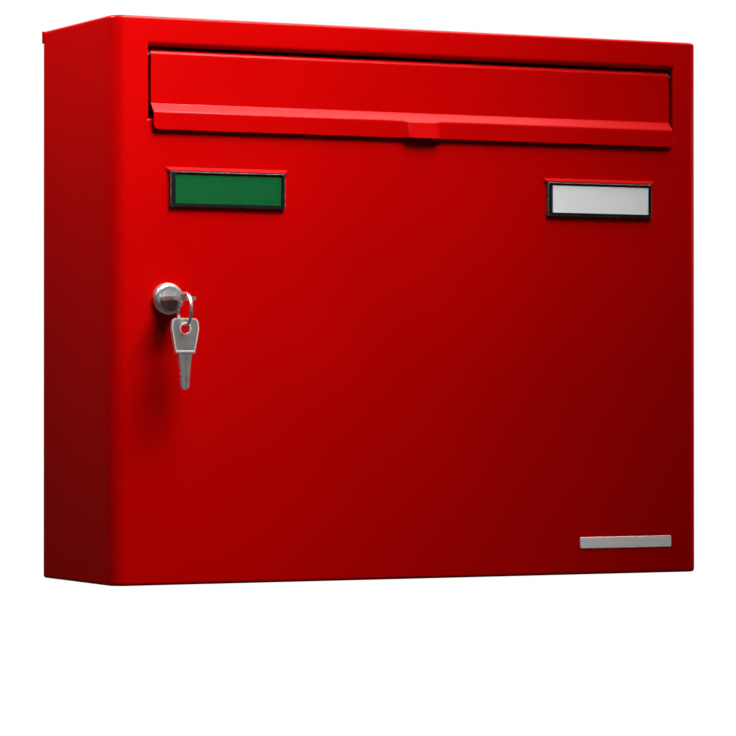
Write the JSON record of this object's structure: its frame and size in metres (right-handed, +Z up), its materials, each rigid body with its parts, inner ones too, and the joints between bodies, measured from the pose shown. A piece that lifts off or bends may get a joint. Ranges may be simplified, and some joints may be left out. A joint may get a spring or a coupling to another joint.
{
  "type": "wall-mounted letterbox",
  "caption": "Wall-mounted sheet-steel letterbox with a wrap-over hinged door, a top-hung letter flap with pull tab, label windows and a cam lock with keys.",
  "frame": {"origin": "centre of the four wall holes, in the plane of the wall", "axes": "+X to the right as seen from the front, +Y into the wall, +Z up"},
  "size_m": [0.382, 0.1453, 0.32],
  "materials": {
    "red_paint": "glossy powder coat on sheet steel",
    "zinc_steel": "zinc plated",
    "black_steel": "blackened wire",
    "lock_chrome": "polished chrome",
    "key_nickel": "nickel plated, satin",
    "ring_steel": "bright drawn wire",
    "black_plastic": "moulded, fine grain",
    "buffer_rubber": "soft matt",
    "green_card": "plain printed card",
    "white_card": "plain card",
    "clear_plastic": "clear, polished"
  },
  "bodies": {
    "tray": {"back_tray": "red_paint", "keeper": "red_paint", "upper_hinge_bush": "black_plastic", "lower_hinge_bush": "black_plastic"},
    "flap": {"letter_flap": "red_paint", "flap_axle": "black_steel"},
    "plug": {"lock_plug": "lock_chrome", "lock_cam": "zinc_steel", "cam_screw": "zinc_steel"},
    "inserted_key": {"key": "key_nickel"},
    "ring": {"key_ring": "ring_steel"},
    "hanging_key": {"spare_key": "key_nickel"},
    "door": {"door_shell": "red_paint", "upper_hinge_pin": "zinc_steel", "lower_hinge_pin": "zinc_steel", "right_flap_bearing": "black_plastic", "left_flap_bearing": "black_plastic", "flap_buffers": "buffer_rubber", "lock_cylinder": "lock_chrome", "lock_nut": "zinc_steel", "left_label_holder": "black_plastic", "left_label_card": "green_card", "left_label_cover": "clear_plastic", "right_label_holder": "black_plastic", "right_label_card": "white_card", "right_label_cover": "clear_plastic"}
  },
  "joints": [
    {"name": "door_swing", "type": "hinge", "parent": "tray", "child": "door", "pos_m": [0.183, -0.102, 0], "axis": [0, 0, 1], "range_deg": [0, 100]},
    {"name": "flap_swing", "type": "hinge", "parent": "door", "child": "flap", "pos_m": [0, -0.10517, 0.13847], "axis": [-1, 0, 0], "range_deg": [0, 80]},
    {"name": "lock_turn", "type": "hinge", "parent": "door", "child": "plug", "pos_m": [-0.158, -0.11, 0.001], "axis": [0, 1, 0], "range_deg": [0, 90]},
    {"name": "key_pull", "type": "slide", "parent": "plug", "child": "inserted_key", "axis": [0, -1, 0], "range_m": [0, 0.025]},
    {"name": "ring_swing", "type": "hinge", "parent": "inserted_key", "child": "ring", "pos_m": [-0.158, -0.13345, 0.001], "axis": [-1, 0, 0], "range_deg": [0, 80]},
    {"name": "spare_key_swing", "type": "hinge", "parent": "ring", "child": "hanging_key", "pos_m": [-0.158, -0.13545, -0.01475], "axis": [0, 1, 0], "range_deg": [-35, 35]}
  ]
}
